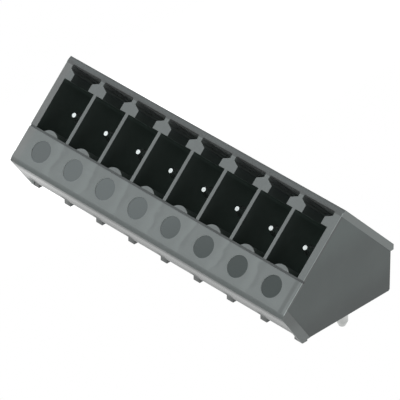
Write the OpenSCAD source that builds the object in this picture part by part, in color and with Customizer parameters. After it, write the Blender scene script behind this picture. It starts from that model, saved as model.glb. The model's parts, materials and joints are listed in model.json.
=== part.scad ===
// Angled header for pluggable terminal blocks: one moulded housing that carries a row of
// bent round pins. X runs along the row, Y to the rear and Z up from the board. The origin
// is the middle of the row of solder tails, on the board. All lengths are in millimetres.

/* [Row] */
// Number of poles
poles = 8; // [2:1:12]
// Distance from one pole to the next
pitch = 3.5; // [3.4:0.01:5.08]
// Length of the housing beyond the outermost pitch line, at each end
end_margin = 0.5; // [0.4:0.05:1.5]

/* [Outer form] */
// Angle between the mating face and the board
face_tilt = 45; // [43:0.5:47]
// Length of the mating face from the front tip up to the ridge
face_len = 9.13; // [9:0.01:9.8]
// Distance of the front tip ahead of the tail row
tip_y = 8.7; // [8.5:0.05:9]
// Height of the front tip above the board
tip_z = 3.29; // [3.1:0.01:3.6]
// Angle between the sloping front and the board
front_tilt = 56.4; // [52:0.1:62]
// Distance of the rear face behind the tail row
rear_y = 2.7; // [2.3:0.05:3.2]
// Draft of the roof away from the mating direction
roof_draft = 1.8; // [0:0.1:2.5]
// Overhang of the eave behind the rear face
eave_over = 0.28; // [0.1:0.01:0.6]
// Height of the eave's upright edge
eave_h = 0.48; // [0.3:0.01:0.7]
// Width of the shallow bevels along the ridge and the front tip, on the mating face
bevel_w = 0.36; // [0.2:0.01:0.45]
// Drop of those bevels at their outer edge
bevel_drop = 0.1; // [0.03:0.01:0.2]
// Chamfer of the lower rear edge
rear_chamfer = 0.1; // [0.05:0.01:0.5]

/* [End faces] */
// Depth of the plain panel between the roof strip and the front strip
panel_depth = 0.03; // [0.02:0.01:0.25]
// Thickness of the roof strip, seen from the end
roof_strip = 0.55; // [0.4:0.01:0.8]
// Thickness of the front strip, seen from the end
front_strip = 0.75; // [0.5:0.01:1]

/* [Chambers] */
// Width of the ledge below the chambers
ledge_w = 3.17; // [2.9:0.01:3.4]
// Thickness of the roof over the chambers
roof_t = 0.55; // [0.45:0.01:0.8]
// Thickness of each end wall
end_wall = 0.65; // [0.5:0.01:1]
// Thickness of the partitions between the chambers
partition_t = 0.3; // [0.2:0.01:0.6]
// Thickness of the chamber floor that holds the pins
floor_t = 1; // [0.7:0.05:1.5]
// Width of the narrow groove along the edge of the ledge
groove_w = 0.17; // [0.1:0.01:0.3]
// Depth of that groove
groove_depth = 0.08; // [0.04:0.01:0.4]

/* [Guides] */
// Width of the house-shaped guide on each partition
guide_w = 1.58; // [1.2:0.01:1.8]
// Distance of the guide's foot from the front tip, along the mating face
guide_start = 7.42; // [7.2:0.01:7.6]
// Height of the guide's straight sides
guide_side = 0.6; // [0.4:0.01:0.65]
// Height of the guide's sloping shoulders
guide_shoulder = 0.3; // [0.2:0.01:0.4]
// Width of the neck between the guide and the roof
guide_neck = 0.42; // [0.35:0.01:0.6]
// Width of the rounded rib on the lower wall of each chamber
rib_w = 1.45; // [1:0.01:1.8]
// Height of that rib
rib_h = 0.33; // [0.2:0.01:0.45]

/* [Ledge] */
// Diameter of the round recess that an ejector pin leaves below each chamber
recess_d = 1.77; // [1.5:0.01:2]
// Depth of the round recess
recess_depth = 0.05; // [0.03:0.01:0.2]
// Distance of the recess's centre from the front tip, along the mating face
recess_pos = 1.7; // [1.5:0.01:1.8]

/* [Underside] */
// Gap between the board and the underside, kept by the feet
stand_off = 0.15; // [0.1:0.01:0.4]
// Depth of a front foot where it meets the board
foot_depth = 0.52; // [0.4:0.01:0.7]
// Width of the front feet and of the ribs behind them
foot_w = 0.67; // [0.4:0.01:1]
// Height of the front's lower edge above the board, where the feet stand back from it
window_h = 1.15; // [0.8:0.05:1.4]
// Thickness of the skin at each end that carries the sloping front down to the board
end_skin = 0.3; // [0.2:0.01:0.5]
// Thickness of the front wall ahead of the hollow under the ledge
front_t = 0.75; // [0.6:0.01:0.9]
// Thickness of the ledge over that hollow
ledge_t = 0.9; // [0.7:0.05:1.2]
// Thickness of the lower chamber wall
lower_wall = 0.7; // [0.5:0.05:0.9]
// Width of the slot that clears each bent tail
slot_w = 2.7; // [1.8:0.05:2.8]
// Clear space ahead of a tail in its slot
slot_ahead = 0.85; // [0.4:0.05:1]
// Clear space above a pin where it enters its slot
slot_above = 0.3; // [0.2:0.05:0.5]
// Depth of the rear pads on the ribs between the slots
pad_depth = 0.7; // [0.4:0.05:1]

/* [Pins] */
// Diameter of the pin wire
pin_d = 0.9; // [0.8:0.05:1.2]
// Distance of the pin's axis from the front tip, along the mating face
pin_pos = 5.35; // [5.2:0.01:5.5]
// Depth of the pin's tip below the mating face
tip_depth = 1.23; // [0.8:0.01:2]
// Length of the tapered tip
tip_taper = 0.7; // [0.4:0.05:1.2]
// Diameter of the flat on the tip
tip_flat = 0.36; // [0.3:0.01:0.6]
// Bend radius of the pin's centre line
bend_r = 1.2; // [1:0.05:1.4]
// Length of the solder tail below the board
tail_len = 2.75; // [2.6:0.05:3.6]
// Length of the tapered tail end
tail_taper = 0.4; // [0.2:0.05:0.6]
// Diameter of the flat on the tail end
tail_flat = 0.55; // [0.4:0.05:0.7]
// Step from the wire to the thicker collar that sits in the chamber floor
collar_step = 0.2; // [0.05:0.01:0.3]
// Radial gap round the collar in the chamber floor
collar_gap = 0.01; // [0.005:0.005:0.03]

/* [Hidden] */
$fn = 64;

// Reach of a cutting shape past the surface that it opens
over = 1;
body_len = poles * pitch + 2 * end_margin;
inner_len = body_len - 2 * end_wall;
chamber_top = face_len - roof_t;
roof_tilt = 90 - face_tilt + roof_draft;

// A point of the side view, (y, z), from its distance w up the mating face and its
// distance n out of that face
function face_pt(w, n) = [
    -tip_y + w * cos(face_tilt) - n * sin(face_tilt),
    tip_z + w * sin(face_tilt) + n * cos(face_tilt)
];
// The place of a pole, and of a pitch line between two poles, along the row
function pole_x(pole) = (pole - (poles + 1) / 2) * pitch;
function line_x(line) = (line - poles / 2) * pitch;
// The sloping front at height z, at a distance behind its outer face
function front_y(z, inward) = -tip_y + (tip_z - z) / tan(front_tilt) + inward / sin(front_tilt);

// The pin runs down its own axis to the corner where it meets the upright tail
corner_depth = (tip_y - pin_pos * cos(face_tilt)) / sin(face_tilt);
corner_z = face_pt(pin_pos, -corner_depth)[1];
bend_reach = bend_r * tan(face_tilt / 2);
tail_top = corner_z - bend_reach;
wire_r = pin_d / 2;
collar_r = wire_r + collar_step;

// The chamber floor ends where the bend begins
floor_back = corner_depth - bend_reach;
chamber_depth = floor_back - floor_t;

ridge = face_pt(face_len, 0);
eave_y = rear_y + eave_over;
eave_z = ridge[1] - (eave_y - ridge[0]) * tan(roof_tilt);
foot_front = front_y(0, 0);
foot_rear = foot_front + foot_depth;

// Draws a side view, (y, z), along the row from x0 to x1
module along_row(x0, x1) {
    translate([x0, 0, 0])
        rotate([90, 0, 90])
            linear_extrude(x1 - x0)
                children();
}

// Places children on the mating face: X along the row, Y up the face, Z out of it
module on_face() {
    translate([0, -tip_y, tip_z])
        rotate([face_tilt, 0, 0])
            children();
}

module outer_block() {
    tip_cut = bevel_drop / sin(face_tilt + front_tilt);
    along_row(-body_len / 2, body_len / 2)
        polygon([
            face_pt(bevel_w, 0),
            face_pt(face_len - bevel_w, 0),
            face_pt(face_len - bevel_drop * tan(roof_draft), -bevel_drop),
            [eave_y, eave_z],
            [eave_y, eave_z - eave_h],
            [rear_y, eave_z - eave_h],
            [rear_y, stand_off + rear_chamfer],
            [rear_y - rear_chamfer, stand_off],
            [foot_rear, stand_off],
            [foot_rear, 0],
            [foot_front, 0],
            [-tip_y + tip_cut * cos(front_tilt), tip_z - tip_cut * sin(front_tilt)]
        ]);
}

// The pads that level the housing behind the tails, on the ribs between the slots
module rear_pads() {
    rib_w_between = pitch - slot_w;
    for (line = [1 : poles - 1])
        translate([line_x(line) - rib_w_between / 2, rear_y - rear_chamfer - pad_depth, 0])
            cube([rib_w_between, pad_depth, stand_off + over / 2]);
}

// The panel that is set back on an end face, open to the mating face, the rear and the board
module end_panel() {
    reach = face_len + tip_y;
    along_row(body_len / 2 - panel_depth, body_len / 2 + over)
        polygon([
            face_pt(face_len - roof_strip + over * tan(roof_draft), over),
            face_pt(face_len - roof_strip - reach * tan(roof_draft), -reach),
            [front_y(-reach, front_strip), -reach],
            [front_y(tip_z + over, front_strip), tip_z + over]
        ]);
}

// One guide, seen into the chamber: straight sides, sloping shoulders and a neck to the roof
module guide_outline() {
    shoulder_start = guide_start + guide_side;
    neck_start = shoulder_start + guide_shoulder;
    polygon([
        [-guide_w / 2, guide_start],
        [guide_w / 2, guide_start],
        [guide_w / 2, shoulder_start],
        [guide_neck / 2, neck_start],
        [guide_neck / 2, face_len],
        [-guide_neck / 2, face_len],
        [-guide_neck / 2, neck_start],
        [-guide_w / 2, shoulder_start]
    ]);
}

// The space of all chambers: one long slot less the partitions, guides and ribs
module chambers() {
    rib_r = (rib_w * rib_w / 4 + rib_h * rib_h) / (2 * rib_h);
    full_depth = chamber_depth + 2 * over;
    on_face() difference() {
        along_row(-inner_len / 2, inner_len / 2)
            polygon([
                [ledge_w, over],
                [chamber_top + over * tan(roof_draft), over],
                [chamber_top - chamber_depth * tan(roof_draft), -chamber_depth],
                [ledge_w, -chamber_depth]
            ]);
        for (line = [0 : poles])
            translate([line_x(line), 0, -chamber_depth - over])
                linear_extrude(full_depth)
                    guide_outline();
        for (line = [1 : poles - 1])
            translate([line_x(line) - partition_t / 2, 0, -chamber_depth - over])
                cube([partition_t, face_len, full_depth]);
        for (pole = [1 : poles])
            translate([pole_x(pole), ledge_w + rib_h - rib_r, -chamber_depth - over])
                cylinder(r = rib_r, h = full_depth);
    }
}

// The narrow groove that parts the ledge from the chambers, over the whole length
module ledge_groove() {
    on_face()
        translate([-body_len / 2 - over, ledge_w - groove_w, -groove_depth])
            cube([body_len + 2 * over, groove_w, groove_depth + over]);
}

module ledge_recess() {
    on_face()
        translate([0, recess_pos, -recess_depth])
            cylinder(d = recess_d, h = recess_depth + over);
}

module pin_hole() {
    on_face()
        translate([0, pin_pos, -floor_back - over])
            cylinder(r = collar_r + collar_gap, h = floor_t + 2 * over);
}

// The space ahead of the upright feet, under the front's lower edge
module front_window() {
    window_len = body_len - 2 * end_skin;
    along_row(-window_len / 2, window_len / 2)
        polygon([
            [foot_front - tip_z, -over],
            [foot_front - tip_z, window_h],
            [foot_front, window_h],
            [foot_front, -over]
        ]);
}

// The hollow under the ledge of one pole, open to the board and to the front between the feet
module front_hollow() {
    hollow_w = pitch - foot_w;
    wall_w = ledge_w - lower_wall;
    wall_top = face_pt(wall_w, -ledge_t);
    // The ledge's underside follows the mating face down to the inside of the front wall
    front_slope = front_tilt + face_tilt;
    near_w = (front_t - ledge_t * cos(front_slope)) / sin(front_slope);
    along_row(-hollow_w / 2, hollow_w / 2)
        polygon([
            face_pt(near_w, -ledge_t),
            wall_top,
            [wall_top[0] + (wall_top[1] + over) * tan(face_tilt), -over],
            [foot_front - tip_z, -over],
            [foot_front - tip_z, window_h],
            [front_y(window_h, front_t), window_h]
        ]);
}

// The slot of one pole that clears the bent tail, open to the board and to the rear
module tail_slot() {
    slot_front = -wire_r - slot_ahead;
    slot_top = face_pt(pin_pos + wire_r + slot_above, -floor_back);
    front_rise = slot_top[1] - (slot_top[0] - slot_front) * tan(face_tilt);
    along_row(-slot_w / 2, slot_w / 2)
        polygon([
            [slot_front, -over],
            [slot_front, front_rise],
            slot_top,
            [eave_y + over, slot_top[1]],
            [eave_y + over, -over]
        ]);
}

module housing() {
    color([0.48, 0.5, 0.49])
        difference() {
            union() {
                outer_block();
                rear_pads();
            }
            end_panel();
            mirror([1, 0, 0]) end_panel();
            chambers();
            ledge_groove();
            front_window();
            for (pole = [1 : poles])
                translate([pole_x(pole), 0, 0]) {
                    ledge_recess();
                    pin_hole();
                    front_hollow();
                    tail_slot();
                }
        }
}

// A straight stretch of wire, turned from its half outline, (radius, height). The turn starts
// in the plane of the bend, so that straight and bent stretches join edge to edge.
module turned_wire() {
    rotate([0, 0, 90])
        rotate_extrude()
            children();
}

module pin(pole) {
    color([0.82, 0.83, 0.83])
        translate([pole_x(pole), 0, 0]) {
            on_face()
                translate([0, pin_pos, 0])
                    turned_wire()
                        polygon([
                            [0, -floor_back],
                            [collar_r, -floor_back],
                            [collar_r, -chamber_depth],
                            [wire_r, -chamber_depth],
                            [wire_r, -tip_depth - tip_taper],
                            [tip_flat / 2, -tip_depth],
                            [0, -tip_depth]
                        ]);
            translate([0, -bend_r, tail_top])
                rotate([90, 0, 90])
                    rotate_extrude(angle = face_tilt)
                        translate([bend_r, 0])
                            circle(r = wire_r);
            turned_wire()
                polygon([
                    [0, -tail_len],
                    [tail_flat / 2, -tail_len],
                    [wire_r, tail_taper - tail_len],
                    [wire_r, tail_top],
                    [0, tail_top]
                ]);
        }
}

housing();
for (pole = [1 : poles])
    pin(pole);
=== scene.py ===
# %% [markdown]
# # An angled pin header on a light table
#
# The object is a header for a circuit board. One dark grey moulding holds eight keyed chambers
# in a row, and a bent round pin with a coat of tin stands in each of them. The packed CAD part
# has every shape at its real size, in metres, so this lesson reshapes nothing. It rounds the
# edges by the little that a mould leaves, gives the plastic and the tin their finishes, and
# sets up the camera, a light table and three lamps.

import json

import bpy
import numpy as np
from mathutils import Matrix, Vector


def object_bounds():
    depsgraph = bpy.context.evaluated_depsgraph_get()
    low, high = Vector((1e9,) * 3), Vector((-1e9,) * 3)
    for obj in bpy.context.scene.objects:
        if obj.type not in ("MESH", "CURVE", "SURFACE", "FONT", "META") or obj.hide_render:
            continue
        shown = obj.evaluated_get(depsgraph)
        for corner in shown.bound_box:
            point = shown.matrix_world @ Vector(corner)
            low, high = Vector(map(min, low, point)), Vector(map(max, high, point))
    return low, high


MM = 0.001

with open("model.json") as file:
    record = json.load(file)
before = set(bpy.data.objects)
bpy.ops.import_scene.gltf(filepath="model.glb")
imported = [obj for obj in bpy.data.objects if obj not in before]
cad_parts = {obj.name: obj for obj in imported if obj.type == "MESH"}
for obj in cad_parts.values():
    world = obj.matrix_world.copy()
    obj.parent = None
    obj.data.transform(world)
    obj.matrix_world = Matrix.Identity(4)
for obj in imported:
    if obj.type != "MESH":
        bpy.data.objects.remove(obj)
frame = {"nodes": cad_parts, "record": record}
cad_box = [list(corner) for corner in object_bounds()]
housing = frame["nodes"]["housing"]
pins = [frame["nodes"][name] for name in sorted(frame["nodes"]) if name != "housing"]
print("pieces:", housing.name, [pin.name for pin in pins])
print("CAD box in mm:", np.round(np.array(cad_box) / MM, 2).tolist())

# %% [markdown]
# ## Where the mating face lies
#
# The sloping face that the plug meets sets the finish of almost every point of the housing: the
# ledge on it is grained, its edges are smoother, and the chambers behind it are bare and dark.
# A finish could be painted on each face by hand, but the housing has hundreds of them. Two
# distances tell them apart instead: how deep a point lies behind the mating face, and how far
# up that face it lies. The face's directions and levels are read from the frame, so the
# finishes follow the part if its sizes change.

# %% Measure the mating face
ROW, REAR, UP = (1.0, 0.0, 0.0), (0.0, 1.0, 0.0), (0.0, 0.0, 1.0)
MICRON = 0.001 * MM
FRONT_TILT = np.radians(56.4)  # from straight down to the way that the sloping front looks

mounts = {mount["name"]: mount for mount in frame["record"]["mounts"]}
contact = mounts["contact_1"]
face_out = np.array(contact["axis"])
face_up = np.cross(face_out, ROW)
front_out = np.array((0.0, -np.sin(FRONT_TILT), -np.cos(FRONT_TILT)))

corners = np.empty(3 * len(housing.data.vertices), np.float32)
housing.data.vertices.foreach_get("co", corners)
corners = corners.reshape(-1, 3)
half_length = float(corners[:, 0].max())
face_level = float((corners @ face_out).max())
front_level = float((corners @ front_out).max())
feet_front = float(corners[corners[:, 2] < MICRON, 1].min())
flat = corners[corners @ face_out > face_level - MICRON] @ face_up
flat_low, flat_width = float(flat.min()), float(np.ptp(flat))
contact_depth = face_level - float(np.dot(contact["pos_m"], face_out))
floor_depth = contact_depth + contact["dims"]["length_mm"] * MM / 2

pole_x = sorted(mounts[name]["pos_m"][0] for name in mounts if name.startswith("tail_"))
pitch = pole_x[1] - pole_x[0]
lowest = cad_box[0][2]
print("poles:", len(pole_x), "pitch in mm:", round(pitch / MM, 3))
print("flat face in mm:", round(flat_width / MM, 3), "chamber depth:", round(floor_depth / MM, 3))
print("front of the feet in mm:", round(feet_front / MM, 3))

# %% [markdown]
# ## The camera
#
# The photograph was taken from the front right and above, with a long lens that keeps the row's
# far end almost as tall as its near end. A camera could be aimed at the part by eye, but a row of
# chambers shows every small error. So its place and turn were found by matching the chambers,
# corners and pins of the part with the picture. A camera's own axes are its right, its up and the
# way back to the viewer, and those three directions are the columns of its turn.

# %% Set up the camera
CAMERA_PLACE = Vector((204.807, -203.053, 200.486)) * MM
CAMERA_RIGHT = (0.70024, 0.71391, -0.00200)
CAMERA_UP = (-0.40295, 0.39754, 0.82437)
CAMERA_BACK = (0.58932, -0.57645, 0.56605)
LENS, SENSOR = 419.53, 36.0
NEAREST, FURTHEST = 10 * MM, 10.0

camera = bpy.data.objects.new("camera", bpy.data.cameras.new("camera"))
camera.data.sensor_width = SENSOR
camera.data.lens = LENS
camera.data.clip_start = NEAREST
camera.data.clip_end = FURTHEST
turn = Matrix((CAMERA_RIGHT, CAMERA_UP, CAMERA_BACK)).transposed().normalized().to_4x4()
camera.matrix_world = Matrix.Translation(CAMERA_PLACE) @ turn
bpy.context.scene.collection.objects.link(camera)
bpy.context.scene.camera = camera
bpy.context.scene.view_settings.view_transform = "Standard"
print("camera distance in mm:", round(CAMERA_PLACE.length / MM, 1))

# %% [markdown]
# ## Shader sums in plain Python
#
# A finish is a sum of masks and noises, and drawing it node by node hides the sum. The class
# below wraps one socket of a shader, so that `1 - mask * 0.5` is written as it is read and each
# operator adds its own Math node. Every other kind of node comes from one method, `add`.


# %% Wrap a socket
def feed(socket, value):
    """Links a wire to a socket, or sets the socket's own value."""
    if isinstance(value, Wire):
        value.socket.id_data.links.new(value.socket, socket)
    else:
        socket.default_value = value


class Wire:
    """One output socket of a shader, which plain arithmetic can be done with."""

    def __init__(self, socket):
        self.socket = socket

    def add(self, kind, settings, sockets, out=0):
        """Adds a node beside this one: its settings come first, then what feeds its sockets."""
        node = self.socket.id_data.nodes.new(kind)
        for name, value in settings.items():
            setattr(node, name, value)
        for name, value in sockets.items():
            feed(node.inputs[name], value)
        return Wire(node.outputs[out])

    def math(self, operation, *values):
        """A Math node on this wire and the values after it, in their order."""
        return self.add("ShaderNodeMath", {"operation": operation}, dict(enumerate((self,) + values)))

    def __add__(self, other):
        return self.math("ADD", other)

    def __sub__(self, other):
        return self.math("SUBTRACT", other)

    def __rsub__(self, other):
        return self.math("MULTIPLY_ADD", -1.0, other)

    def __mul__(self, other):
        return self.math("MULTIPLY", other)

    __radd__ = __add__
    __rmul__ = __mul__

    def along(self, direction):
        """How far a point lies along a direction: the dot product of the two vectors."""
        settings = {"operation": "DOT_PRODUCT"}
        return self.add("ShaderNodeVectorMath", settings, {0: self, 1: tuple(direction)}, "Value")

    def rises(self, start, end):
        """A mask that goes smoothly from 0 at start to 1 at end."""
        settings = {"interpolation_type": "SMOOTHSTEP"}
        ends = {"Value": self, "From Min": start, "From Max": end}
        return self.add("ShaderNodeMapRange", settings, ends)

    def falls(self, start, end):
        """A mask that goes smoothly from 1 at start to 0 at end."""
        return 1 - self.rises(start, end)

    def within(self, low, high, fade):
        """A mask that is 1 between low and high and fades out over a distance outside them."""
        return self.rises(low - fade, low) * self.falls(high, high + fade)

    def noise(self, scale, detail=2.0, roughness=0.5):
        """Even noise from 0 to 1 at a scale in patches to the metre."""
        sockets = {"Vector": self, "Scale": scale, "Detail": detail, "Roughness": roughness}
        return self.add("ShaderNodeTexNoise", {}, sockets, "Fac")

    def mix(self, first, second, blend="MIX"):
        """The colour that goes from first to second, or to their blend, as this mask goes to 1."""
        settings = {"data_type": "RGBA", "blend_type": blend}
        sockets = {"Factor": self, 6: first, 7: second}  # 6, 7 and output 2 are the node's colours
        return self.add("ShaderNodeMix", settings, sockets, 2)

    def bump(self, distance):
        """The normal of a surface raised by this height times the distance."""
        return self.add("ShaderNodeBump", {}, {"Height": self, "Distance": distance}, "Normal")


def new_finish(name):
    """A bare material: returns it with its surface shader and the Object coordinates."""
    finish = bpy.data.materials.new(name)
    finish.use_nodes = True
    nodes = finish.node_tree.nodes
    place = Wire(nodes.new("ShaderNodeTexCoord").outputs["Object"])
    return finish, nodes["Principled BSDF"], place


print("a wire has", len([name for name in vars(Wire) if not name.startswith("__")]), "plain methods")

# %% [markdown]
# ## The light table
#
# The photograph has a bare white ground and no shadow, as on a table whose opal top is lit from
# below. A white floor under strong lamps would do too, but it would keep a shadow under the
# part. So the floor gives off its own light. It lies level with the ends of the solder tails.
# The part's sloping front looks down at it and shows its brightness like a dull mirror, and that
# front is palest at the left end, where one of the tubes lies below the opal. Seen from below
# the top lets the view through, so that the underside can be looked at.


# %% Make the table top
def table_top(half_width, level, steps):
    """A level square: x and y run over an even grid and the height is the same everywhere."""
    line = np.linspace(-half_width, half_width, steps + 1)
    x, y = np.meshgrid(line, line, indexing="ij")
    points = np.stack([x, y, np.full_like(x, level)], axis=-1).reshape(-1, 3)
    number = np.arange(points.shape[0]).reshape(x.shape)
    quads = np.stack([number[:-1, :-1], number[1:, :-1], number[1:, 1:], number[:-1, 1:]], axis=-1)
    mesh = bpy.data.meshes.new("table_top")
    mesh.from_pydata(points.tolist(), [], quads.reshape(-1, 4).tolist())
    return mesh


TABLE_HALF, TABLE_STEPS = 1.5, 4
OPAL = (1.0, 1.0, 1.0, 1)
OPAL_OVER_TUBE = (1.5, 1.5, 1.5, 1)
TUBE_X = -half_length - 4 * MM
TUBE_GLOW = 9 * MM

table = bpy.data.objects.new("table_top", table_top(TABLE_HALF, lowest, TABLE_STEPS))
bpy.context.scene.collection.objects.link(table)
opal, surface, place = new_finish("opal_top")
tube = place.along(ROW).within(TUBE_X, TUBE_X, TUBE_GLOW)
glow = tube.add("ShaderNodeEmission", {}, {"Color": tube.mix(OPAL, OPAL_OVER_TUBE)})
clear = tube.add("ShaderNodeBsdfTransparent", {}, {})
below = tube.add("ShaderNodeNewGeometry", {}, {}, "Backfacing")
top = tube.add("ShaderNodeMixShader", {}, {0: below, 1: glow, 2: clear})
opal.node_tree.nodes.remove(surface)
feed(opal.node_tree.nodes["Material Output"].inputs["Surface"], top)
table.data.materials.append(opal)
print("table top at", round(lowest / MM, 2), "mm, tube at x =", round(TUBE_X / MM, 1), "mm")

# %% [markdown]
# ## The lamps
#
# The picture is lit softly from the front and above, which makes the mating face the lightest
# side, while the end face has little but the table's light. A second, cooler lamp hangs at the
# left, as from a window. It is just where the smooth round marks on the ledge mirror it, and its
# edge falls in the middle of the row, so the marks grow darker to the right. A weak lamp at the
# back lights the roof, which the photograph doesn't show. An even sky would be simpler, but it
# would give the marks nothing to mirror. So each lamp is a square panel that looks at the part.
# Its power is worked out from the brightness that it should show, which is power over area and
# pi, so that a reflection of it has a known tone.

# %% Hang the lamps
LAMPS = {  # the way to each lamp, its distance, the side of its panel, its brightness and its tint
    "front_lamp": ((-0.05, -0.68, 0.73), 0.7, 0.5, 5.4, (1.0, 1.0, 1.0)),
    "left_lamp": ((-0.82, -0.215, 0.52), 0.67, 0.61, 2.05, (0.92, 1.0, 1.03)),
    "back_lamp": ((-0.1, 0.75, 0.66), 0.8, 0.5, 3.0, (1.0, 1.0, 1.0)),
}
ROOM_LIGHT = 0.25

for name, (way, distance, side, brightness, tint) in LAMPS.items():
    panel = bpy.data.lights.new(name, "AREA")
    panel.shape = "SQUARE"
    panel.size = side
    panel.color = tint
    panel.energy = brightness * np.pi * side**2
    way = Vector(way).normalized()
    facing = way.to_track_quat("Z", "Y").to_matrix().to_4x4()
    hung = bpy.data.objects.new(name, panel)
    hung.matrix_world = Matrix.Translation(way * distance) @ facing
    bpy.context.scene.collection.objects.link(hung)
    print("lamp", name, "power in watts:", round(panel.energy, 2))

room = bpy.data.worlds.new("room")
room.use_nodes = True
room.node_tree.nodes["Background"].inputs["Color"].default_value = (ROOM_LIGHT,) * 3 + (1.0,)
bpy.context.scene.world = room

# %% [markdown]
# ## Edges as a mould leaves them
#
# A cut in CAD ends in a knife edge, which no moulding has, and a knife edge never catches the
# light. The real edges are a little rounded. So fine a round could be cut in CAD too, but on
# hundreds of edges it would make the solid heavy and change nothing that it fits. Modifiers make
# it without touching the CAD mesh: the loose triangles are welded, the flat ones are joined into
# whole faces, and each sharp edge gets a small round. The shallowest step on the part, round the
# end panels, is 0.03 mm high and has an edge above and one below, so the round is a little under
# half of that.

# %% Round the housing's edges
SHALLOW_STEP = 0.03 * MM
EDGE_ROUND = 0.4 * SHALLOW_STEP
ROUND_STEPS = 2
FLAT_WITHIN, SHARP_OVER = np.radians(0.5), np.radians(30)
ALL_TO_WIDE_FACES = 100

weld = housing.modifiers.new("weld", "WELD")
weld.merge_threshold = MICRON
join = housing.modifiers.new("join_flat_faces", "DECIMATE")
join.decimate_type = "DISSOLVE"
join.angle_limit = FLAT_WITHIN
rounding = housing.modifiers.new("edge_round", "BEVEL")
rounding.width = EDGE_ROUND
rounding.segments = ROUND_STEPS
rounding.limit_method = "ANGLE"
rounding.angle_limit = SHARP_OVER
rounding.use_clamp_overlap = False
shading = housing.modifiers.new("even_shading", "WEIGHTED_NORMAL")
shading.weight = ALL_TO_WIDE_FACES
shading.keep_sharp = False
seen = housing.evaluated_get(bpy.context.evaluated_depsgraph_get()).to_mesh()
print("housing faces with rounded edges:", len(seen.polygons))

# %% [markdown]
# ## Where a point of the moulding lies
#
# A mask can find a skin of the moulding from the place of a point alone, so that no face has to
# be picked by hand. It needs a few distances first: along the row, above the board, from the
# ends, behind the mating face and up along it, and so on. Lengths up the mating face start at
# the lower edge of its flat part. The roof leans by its mould draft, so the rise that finds it
# is corrected with the depth. What repeats with the poles is found by a distance that starts
# again at each line between two poles.

# %% Measure the place of a point
ROOF_DRAFT = float(np.tan(np.radians(1.8)))

plastic, surface, place = new_finish("grained_plastic")
row_x, height = place.along(ROW), place.along(UP)
from_left, from_right = row_x + half_length, half_length - row_x
from_end = half_length - row_x.math("ABSOLUTE")
depth = face_level - place.along(face_out)
rise = place.along(face_up) - flat_low
roof_rise = rise + depth * ROOF_DRAFT
behind_front = front_level - place.along(front_out)
before_feet = feet_front - place.along(REAR)

first_line = pole_x[0] - pitch / 2
from_line = (row_x - first_line).math("WRAP", pitch / 2, -pitch / 2)
off_line = from_line.math("ABSOLUTE")
off_pole = pitch / 2 - off_line
print("nodes that measure a point:", len(plastic.node_tree.nodes))

# %% [markdown]
# ## The skins of the mating face
#
# The housing is one dark plastic, but the mould gave it several skins. The ledge below the
# chambers is grained, and along its top runs a groove. The ridge above the chambers was cut by
# another tool, and its lower lip between the necks of the guides gets painted shade. The chambers
# are bare plastic. Each mask could be cut off sharply, but an edge with no fade looks torn where it
# crosses the pixels. So the masks fade over a few hundredths of a millimetre.


# %% Find the skins of the mating face
def span(start, end):
    """Where a mask begins to change and where it has changed: from millimetres to metres."""
    return start * MM, end * MM


FINE, CRISP, SOFT = 0.01 * MM, 0.02 * MM, 0.03 * MM
SKIN_DEPTH = span(0.2, 0.25)
AT_SURFACE = span(0.01, 0.03)
END_WALL = span(0.55, 0.65)
LEDGE_TOP, GROOVE_TOP = 2.64 * MM, 2.81 * MM
RIDGE_START = flat_width - 0.19 * MM
LIP_TOP = RIDGE_START + 0.08 * MM
CHAMBER_TOP = RIDGE_START + 0.1 * MM
CHAMBER_MOUTH, CHAMBER_END = 0.06 * MM, floor_depth + 0.4 * MM
OFF_NECK = span(0.21, 0.26)

skin = depth.falls(*SKIN_DEPTH)
on_face = depth.falls(*AT_SURFACE)
inner = from_end.rises(*END_WALL)
ledge = skin * rise.within(0.0, LEDGE_TOP, CRISP)
painted_groove_shade = skin * rise.within(LEDGE_TOP, GROOVE_TOP, FINE)
ridge = skin * rise.rises(RIDGE_START - CRISP, RIDGE_START)
lip = inner * skin * off_line.rises(*OFF_NECK) * rise.within(RIDGE_START, LIP_TOP, 2 * CRISP)
chamber = inner * rise.within(GROOVE_TOP, CHAMBER_TOP, CRISP)
chamber = chamber * depth.within(CHAMBER_MOUTH, CHAMBER_END, SOFT)
print("nodes with the mating face:", len(plastic.node_tree.nodes))

# %% [markdown]
# ## The ends, the roof and the front
#
# Each end is a shallow panel in a frame of raised strips, and the strips along the roof and along
# the front have tones of their own. The strips could be picked by their outline, but the distance
# from the end is enough, because they stand 0.03 mm proud of the panel. Along the corners between
# the ends and the mating face runs a thin painted highlight. Beside the end feet the wall is only a
# thin skin, whose inner face shows, lies in shade and gets painted light. The sloping front and the
# roof need masks too, because their gloss differs.

# %% Find the ends, the roof and the front
END_FACE = span(0.05, 0.1)
STRIP_STEP = 0.5 * SHALLOW_STEP, 0.8 * SHALLOW_STEP
EDGE_HIGHLIGHT_WIDTH = span(0.04, 0.07)
LEFT_END = span(0.4, 1.0)
END_SKIN = 0.3 * MM
BEFORE_FEET = span(0.02, 0.06)
SKIN_TOP = span(1.0, 1.2)
ABOVE_FLAT = span(0.2, 0.3)

at_end = from_end.falls(*END_FACE)
strip = from_end.falls(*STRIP_STEP)
# Painted highlight: a thin pale line along the corners between the ends and the mating face.
corner = from_end.falls(*EDGE_HIGHLIGHT_WIDTH) * on_face
left_end = from_left.falls(*LEFT_END) * skin
# Painted light: the inner face of the thin skin beside each end foot lies in shade and is painted
# pale.
painted_skin_light = from_end.within(END_SKIN, END_SKIN, SOFT) * before_feet.rises(*BEFORE_FEET)
painted_skin_light = painted_skin_light * height.falls(*SKIN_TOP)
front = behind_front.falls(*AT_SURFACE)
roof = (roof_rise - flat_width).rises(*ABOVE_FLAT)
roof_side = roof_rise.rises(RIDGE_START - CRISP, RIDGE_START)
print("nodes with the ends, the roof and the front:", len(plastic.node_tree.nodes))
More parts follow.
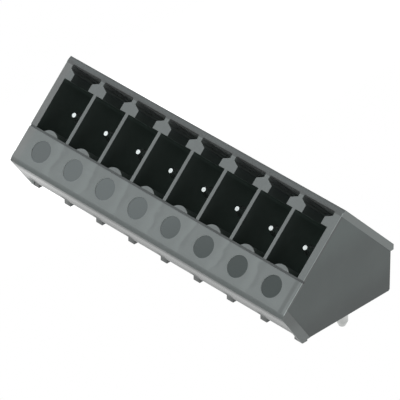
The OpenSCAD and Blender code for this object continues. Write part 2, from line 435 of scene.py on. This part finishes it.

# %% [markdown]
# ## The marks on the ledge
#
# Eight ejector pins pushed the part out of its mould, and each left a round, polished mark that is
# sunk by 0.05 mm. The melt ran along the row as the mould filled, and each partition behind the
# ledge held it up: it left a faint flow mark on each line between two poles. Its relief isn't
# modelled, so it is painted as its shading: painted light before the line and painted shade after
# it. The marks could be drawn one by one, but they all repeat with the pitch, so one formula draws
# each kind. A slow noise bends the flow marks a little, as no two are the same. At the right end a
# thin crease is painted as a dark line of painted shade.

# %% Find the marks
MARK_MIDDLE, MARK_RADIUS = 1.34 * MM, 0.885 * MM
RIM_DEPTH = span(0.01, 0.04)
BEND, BEND_PATCHES = 1.2 * MM, 800.0
FLOW_END = span(1.0, 1.6)
PALE_RISES, PALE_FALLS = span(-0.95, -0.25), span(-0.15, 0.05)
DARK_RISES, DARK_FALLS = span(-0.05, 0.1), span(0.15, 0.6)
DARK_LOW = span(0.2, 0.8)
CREASE, CREASE_FADE = span(0.4, 0.55), 0.2 * MM

above_middle = rise - MARK_MIDDLE
from_middle = (off_pole * off_pole + above_middle * above_middle).math("SQRT")
mark = ledge * from_middle.falls(MARK_RADIUS - CRISP, MARK_RADIUS)
# Painted light: the step wall round each mark is painted pale over its shaded side.
painted_mark_rim_light = ledge * depth.within(*RIM_DEPTH, FINE / 2)

bent = from_line + (place.noise(BEND_PATCHES) - 0.5) * BEND
flow = ledge * from_end.rises(*FLOW_END)
# Painted light before each line between two poles, and painted shade after it, for a faint relief
# that isn't modelled.
painted_flow_light = flow * bent.rises(*PALE_RISES) * bent.falls(*PALE_FALLS)
painted_flow_shade = flow * bent.rises(*DARK_RISES) * bent.falls(*DARK_FALLS) * rise.rises(*DARK_LOW)
# Painted shade: a thin dark crease near the right end.
painted_crease_shade = ledge * from_right.within(*CREASE, CREASE_FADE)
print("nodes with the marks:", len(plastic.node_tree.nodes))

# %% [markdown]
# ## The plastic's colour
#
# Every skin is the same grey with a little green in it, lighter where the grain scatters the
# light and darker where the plastic is smooth. So one function gives the tone at any level, and
# the tones are laid over each other like coats of paint, each where its mask is 1. The walls are
# darker towards the board, which is painted shade. The ends are greener, and paler towards the top,
# which is painted light. The ridge is darker, partly for its smoother skin and partly as painted
# shade of its bevel. The lip below the ridge is painted almost black, as painted shade of a round
# edge that turns away from the light. The face of the left end is a little paler and warmer than
# the rest.


# %% Colour the walls and the mating face
PLAIN_TINT, END_TINT = (0.89, 0.98), (0.78, 0.965)
WARMER = (1.15, 1.06, 1.06, 1.0)
OFF_BOARD = span(0.5, 3.0)
END_TOP = span(5.5, 8.0)


def tone(level, tint=PLAIN_TINT):
    """The plastic's grey at a level of green: the tint has its red and blue as shares of that."""
    red, blue = tint
    return (red * level, level, blue * level, 1.0)


def lay(coats, colour):
    """Lays one tone after the other over a colour, each where its mask is 1."""
    for mask, coat in coats:
        colour = mask.mix(colour, coat)
    return colour


# Painted shade: every wall is darker towards the board. Painted light: each end is paler towards the
# top.
off_board = height.rises(*OFF_BOARD)
wall = off_board.mix(tone(0.06), tone(0.085))
end_wall = off_board.mix(tone(0.055, END_TINT), tone(0.08, END_TINT))
end_wall = height.rises(*END_TOP).mix(end_wall, tone(0.112, END_TINT))
ledge_tone = rise.rises(0.0, LEDGE_TOP).mix(tone(0.112), tone(0.105))
face_coats = [
    (at_end, end_wall),
    (skin, tone(0.087)),
    (ledge, ledge_tone),
    (painted_flow_light, tone(0.126)),
    (painted_flow_shade, tone(0.094)),
    (painted_crease_shade, tone(0.072)),
    # the ridge: partly its smoother skin, partly painted shade of its bevel
    (ridge, tone(0.036)),
    # the lip: painted shade, as of a round edge turned away from the light
    (lip, tone(0.004)),
]
colour = left_end.mix(lay(face_coats, wall), WARMER, "MULTIPLY")
print("coats on the walls and the mating face:", len(face_coats))

# %% [markdown]
# ## The colour of what lies on top
#
# The strips of the end frames are paler than the panels. Along the corners at the ends runs a thin
# painted highlight. The inner faces of the skins beside the end feet lie in shade and get painted
# light. The groove is smooth, and painted dark as painted shade. The polished marks are darker than
# the grain around them, the first one most, and the step wall round each gets painted light. Flat
# tones alone would make the wide faces look painted, so a very faint bloom lies on them in clouds
# of a few millimetres.

# %% Colour the strips, the corners and the marks
MARK_TINT = (0.85, 0.98)
STRIP_RISE = span(1.2, 2.7)
BLOOM, BLOOM_PATCHES = 0.03, 350.0
BLOOM_RISES = 0.35, 0.75
FIRST_MARK_END = pole_x[0] + 0.3 * pitch, pole_x[0] + 0.7 * pitch

front_strip = height.rises(*STRIP_RISE).mix(tone(0.165), tone(0.125))
bloom = place.noise(BLOOM_PATCHES, detail=3.0).rises(*BLOOM_RISES) * BLOOM
past_first = row_x.rises(*FIRST_MARK_END)
top_coats = [
    (strip, roof_side.mix(front_strip, tone(0.21))),
    (corner, tone(0.25)),
    (painted_skin_light, tone(0.3)),
    # painted shade in the groove
    (painted_groove_shade, tone(0.024)),
    (bloom, tone(0.4)),
    (mark, past_first.mix(tone(0.044, MARK_TINT), tone(0.057, MARK_TINT))),
    (painted_mark_rim_light, tone(0.38)),
]
colour = lay(top_coats, colour)
print("coats on top:", len(top_coats), "nodes:", len(plastic.node_tree.nodes))

# %% [markdown]
# ## The colour in the chambers
#
# The chambers are of the same plastic, and look almost black only because little light gets in.
# In the real ones that light goes from wall to wall many times over, more often than a render
# follows it, so a render is too dark in the depth. A small lamp in each chamber would mend that,
# but the pins would mirror it. So the tone rises with the depth instead, and is greener, as the
# light is after each bounce. Four bands up the side walls do the same for the corners round the
# guides, which shade each other. The floor needs none of them, because the lamp reaches it.

# %% Colour the chambers
DEEP_TINT, GUIDE_TINT = (0.74, 0.89), (0.8, 0.94)
GUIDE_FOOT = RIDGE_START - 1.16 * MM
BAND_DEPTH = span(0.5, 3.5)
OFF_FLOOR = span(0.1, 0.2)
BANDS = {  # its lower edge above the guide's foot, its tone in front and its tone at the back
    "below the guide": (span(-0.34, -0.14), tone(0.085, DEEP_TINT), tone(0.175, DEEP_TINT)),
    "beside the guide": (span(-0.01, 0.01), tone(0.06, GUIDE_TINT), tone(0.115, GUIDE_TINT)),
    "at its shoulders": (span(0.61, 0.71), tone(0.14), tone(0.5)),
    "under the roof": (span(0.86, 0.96), tone(0.11), tone(0.2)),
}

# Painted shade at the mouth, where the walls start darker than the plastic outside; painted light
# deeper in, where the tone rises.
deep = depth.rises(0.0, floor_depth).mix(tone(0.049, DEEP_TINT), tone(0.12, DEEP_TINT))
off_floor = (floor_depth - depth).rises(*OFF_FLOOR)
to_back = depth.rises(*BAND_DEPTH)
above_foot = rise - GUIDE_FOOT
for lower_edge, in_front, at_back in BANDS.values():
    deep = (above_foot.rises(*lower_edge) * off_floor).mix(deep, to_back.mix(in_front, at_back))
feed(surface.inputs["Base Color"], chamber.mix(colour, deep))
print("bands of the chambers:", list(BANDS), "nodes:", len(plastic.node_tree.nodes))

# %% [markdown]
# ## The plastic's gloss and relief
#
# The grain is a fine noise of a tenth of a millimetre, which also breaks up the gloss. The round
# marks have none and are the glossiest places. The roof and the bare chambers are duller, and the
# lip is the dullest. The sloping front was drawn out of the mould along its own face, which
# polished it. So it mirrors the bright table best in the middle of its height, and less along its
# two edges and over each foot, where the mould was worn. One roughness for all would lose this,
# so each mask adds its own share. The grain could be real dents, but it is far finer than the
# smallest edge, so a bump turns its height, in millimetres, into a normal.

# %% Roughen and raise the plastic
GRAIN, GRAIN_PATCHES, GRAIN_GLOSS = 0.004, 9000.0, 0.1
PLAIN_ROUGHNESS = 0.3
FRONT_TOP, FRONT_FOOT = span(2.4, 3.4), span(1.3, 2.2)
WORN_BESIDE, WORN_TOP, WORN_FADE = span(0.5, 1.1), span(1.3, 1.9), 0.2 * MM

grain = place.noise(GRAIN_PATCHES, detail=3.0, roughness=0.6)
grained = 1 - mark
worn = from_line.within(*WORN_BESIDE, WORN_FADE) * height.falls(*WORN_TOP)
shares = [  # each mask and what it adds to the roughness
    (on_face, 0.2),
    (chamber, 0.3),
    (mark, -0.22),
    (roof, 0.15),
    (lip, 0.4),
    (front, -0.06),
    (front * height.rises(*FRONT_TOP), 0.3),
    (front * height.falls(*FRONT_FOOT), 0.08),
    (front * worn, 0.2),
]
rough = sum((mask * more for mask, more in shares), PLAIN_ROUGHNESS)
feed(surface.inputs["Roughness"], rough + (grain - 0.5) * grained * GRAIN_GLOSS)
feed(surface.inputs["Normal"], (grain * grained * GRAIN).bump(MM))
housing.data.materials.clear()
housing.data.materials.append(plastic)
print("shares of the roughness:", len(shares))
print("nodes of the whole plastic:", len(plastic.node_tree.nodes))

# %% [markdown]
# ## The tinned pins
#
# Each pin is a drawn wire of copper alloy with a bright coat of tin. Tin is paler and softer in
# its shine than chrome: the drawing leaves fine lines along the wire, and the coat clouds a
# little with age. A plain shiny metal would look like chrome, so both are made from noise. The
# noise of the lines is stretched along the wire, and as the wire bends in one upright plane, the
# same stretch holds for the straight pin and for the tail.

# %% Finish the pins
TIN_PALE, TIN_DULL = (0.54, 0.55, 0.54, 1), (0.42, 0.43, 0.42, 1)
TIN_ROUGHNESS, LINES_ROUGHEN, CLOUDS_ROUGHEN = 0.16, 0.12, 0.08
LINE_STRETCH, LINE_PATCHES, LINE_DEPTH = (1.0, 0.06, 0.06), 30000.0, 0.002 * MM
CLOUD_PATCHES, CLOUD_RISES = 1500.0, (0.3, 0.8)

tin, surface, place = new_finish("bright_tin")
stretched = place.add("ShaderNodeMapping", {}, {"Vector": place, "Scale": LINE_STRETCH})
lines = stretched.noise(LINE_PATCHES)
clouds = place.noise(CLOUD_PATCHES, detail=3.0)
surface.inputs["Metallic"].default_value = 1.0
feed(surface.inputs["Base Color"], clouds.rises(*CLOUD_RISES).mix(TIN_PALE, TIN_DULL))
feed(surface.inputs["Roughness"], TIN_ROUGHNESS + lines * LINES_ROUGHEN + clouds * CLOUDS_ROUGHEN)
feed(surface.inputs["Normal"], lines.bump(LINE_DEPTH))
for pin in pins:
    pin.data.materials.clear()
    pin.data.materials.append(tin)
print("tin nodes:", len(tin.node_tree.nodes), "on", len(pins), "pins")

# %% [markdown]
# ## The sizes at the end
#
# A finish mustn't change what a part measures: only the rounded edges may take a few thousandths
# of a millimetre away.
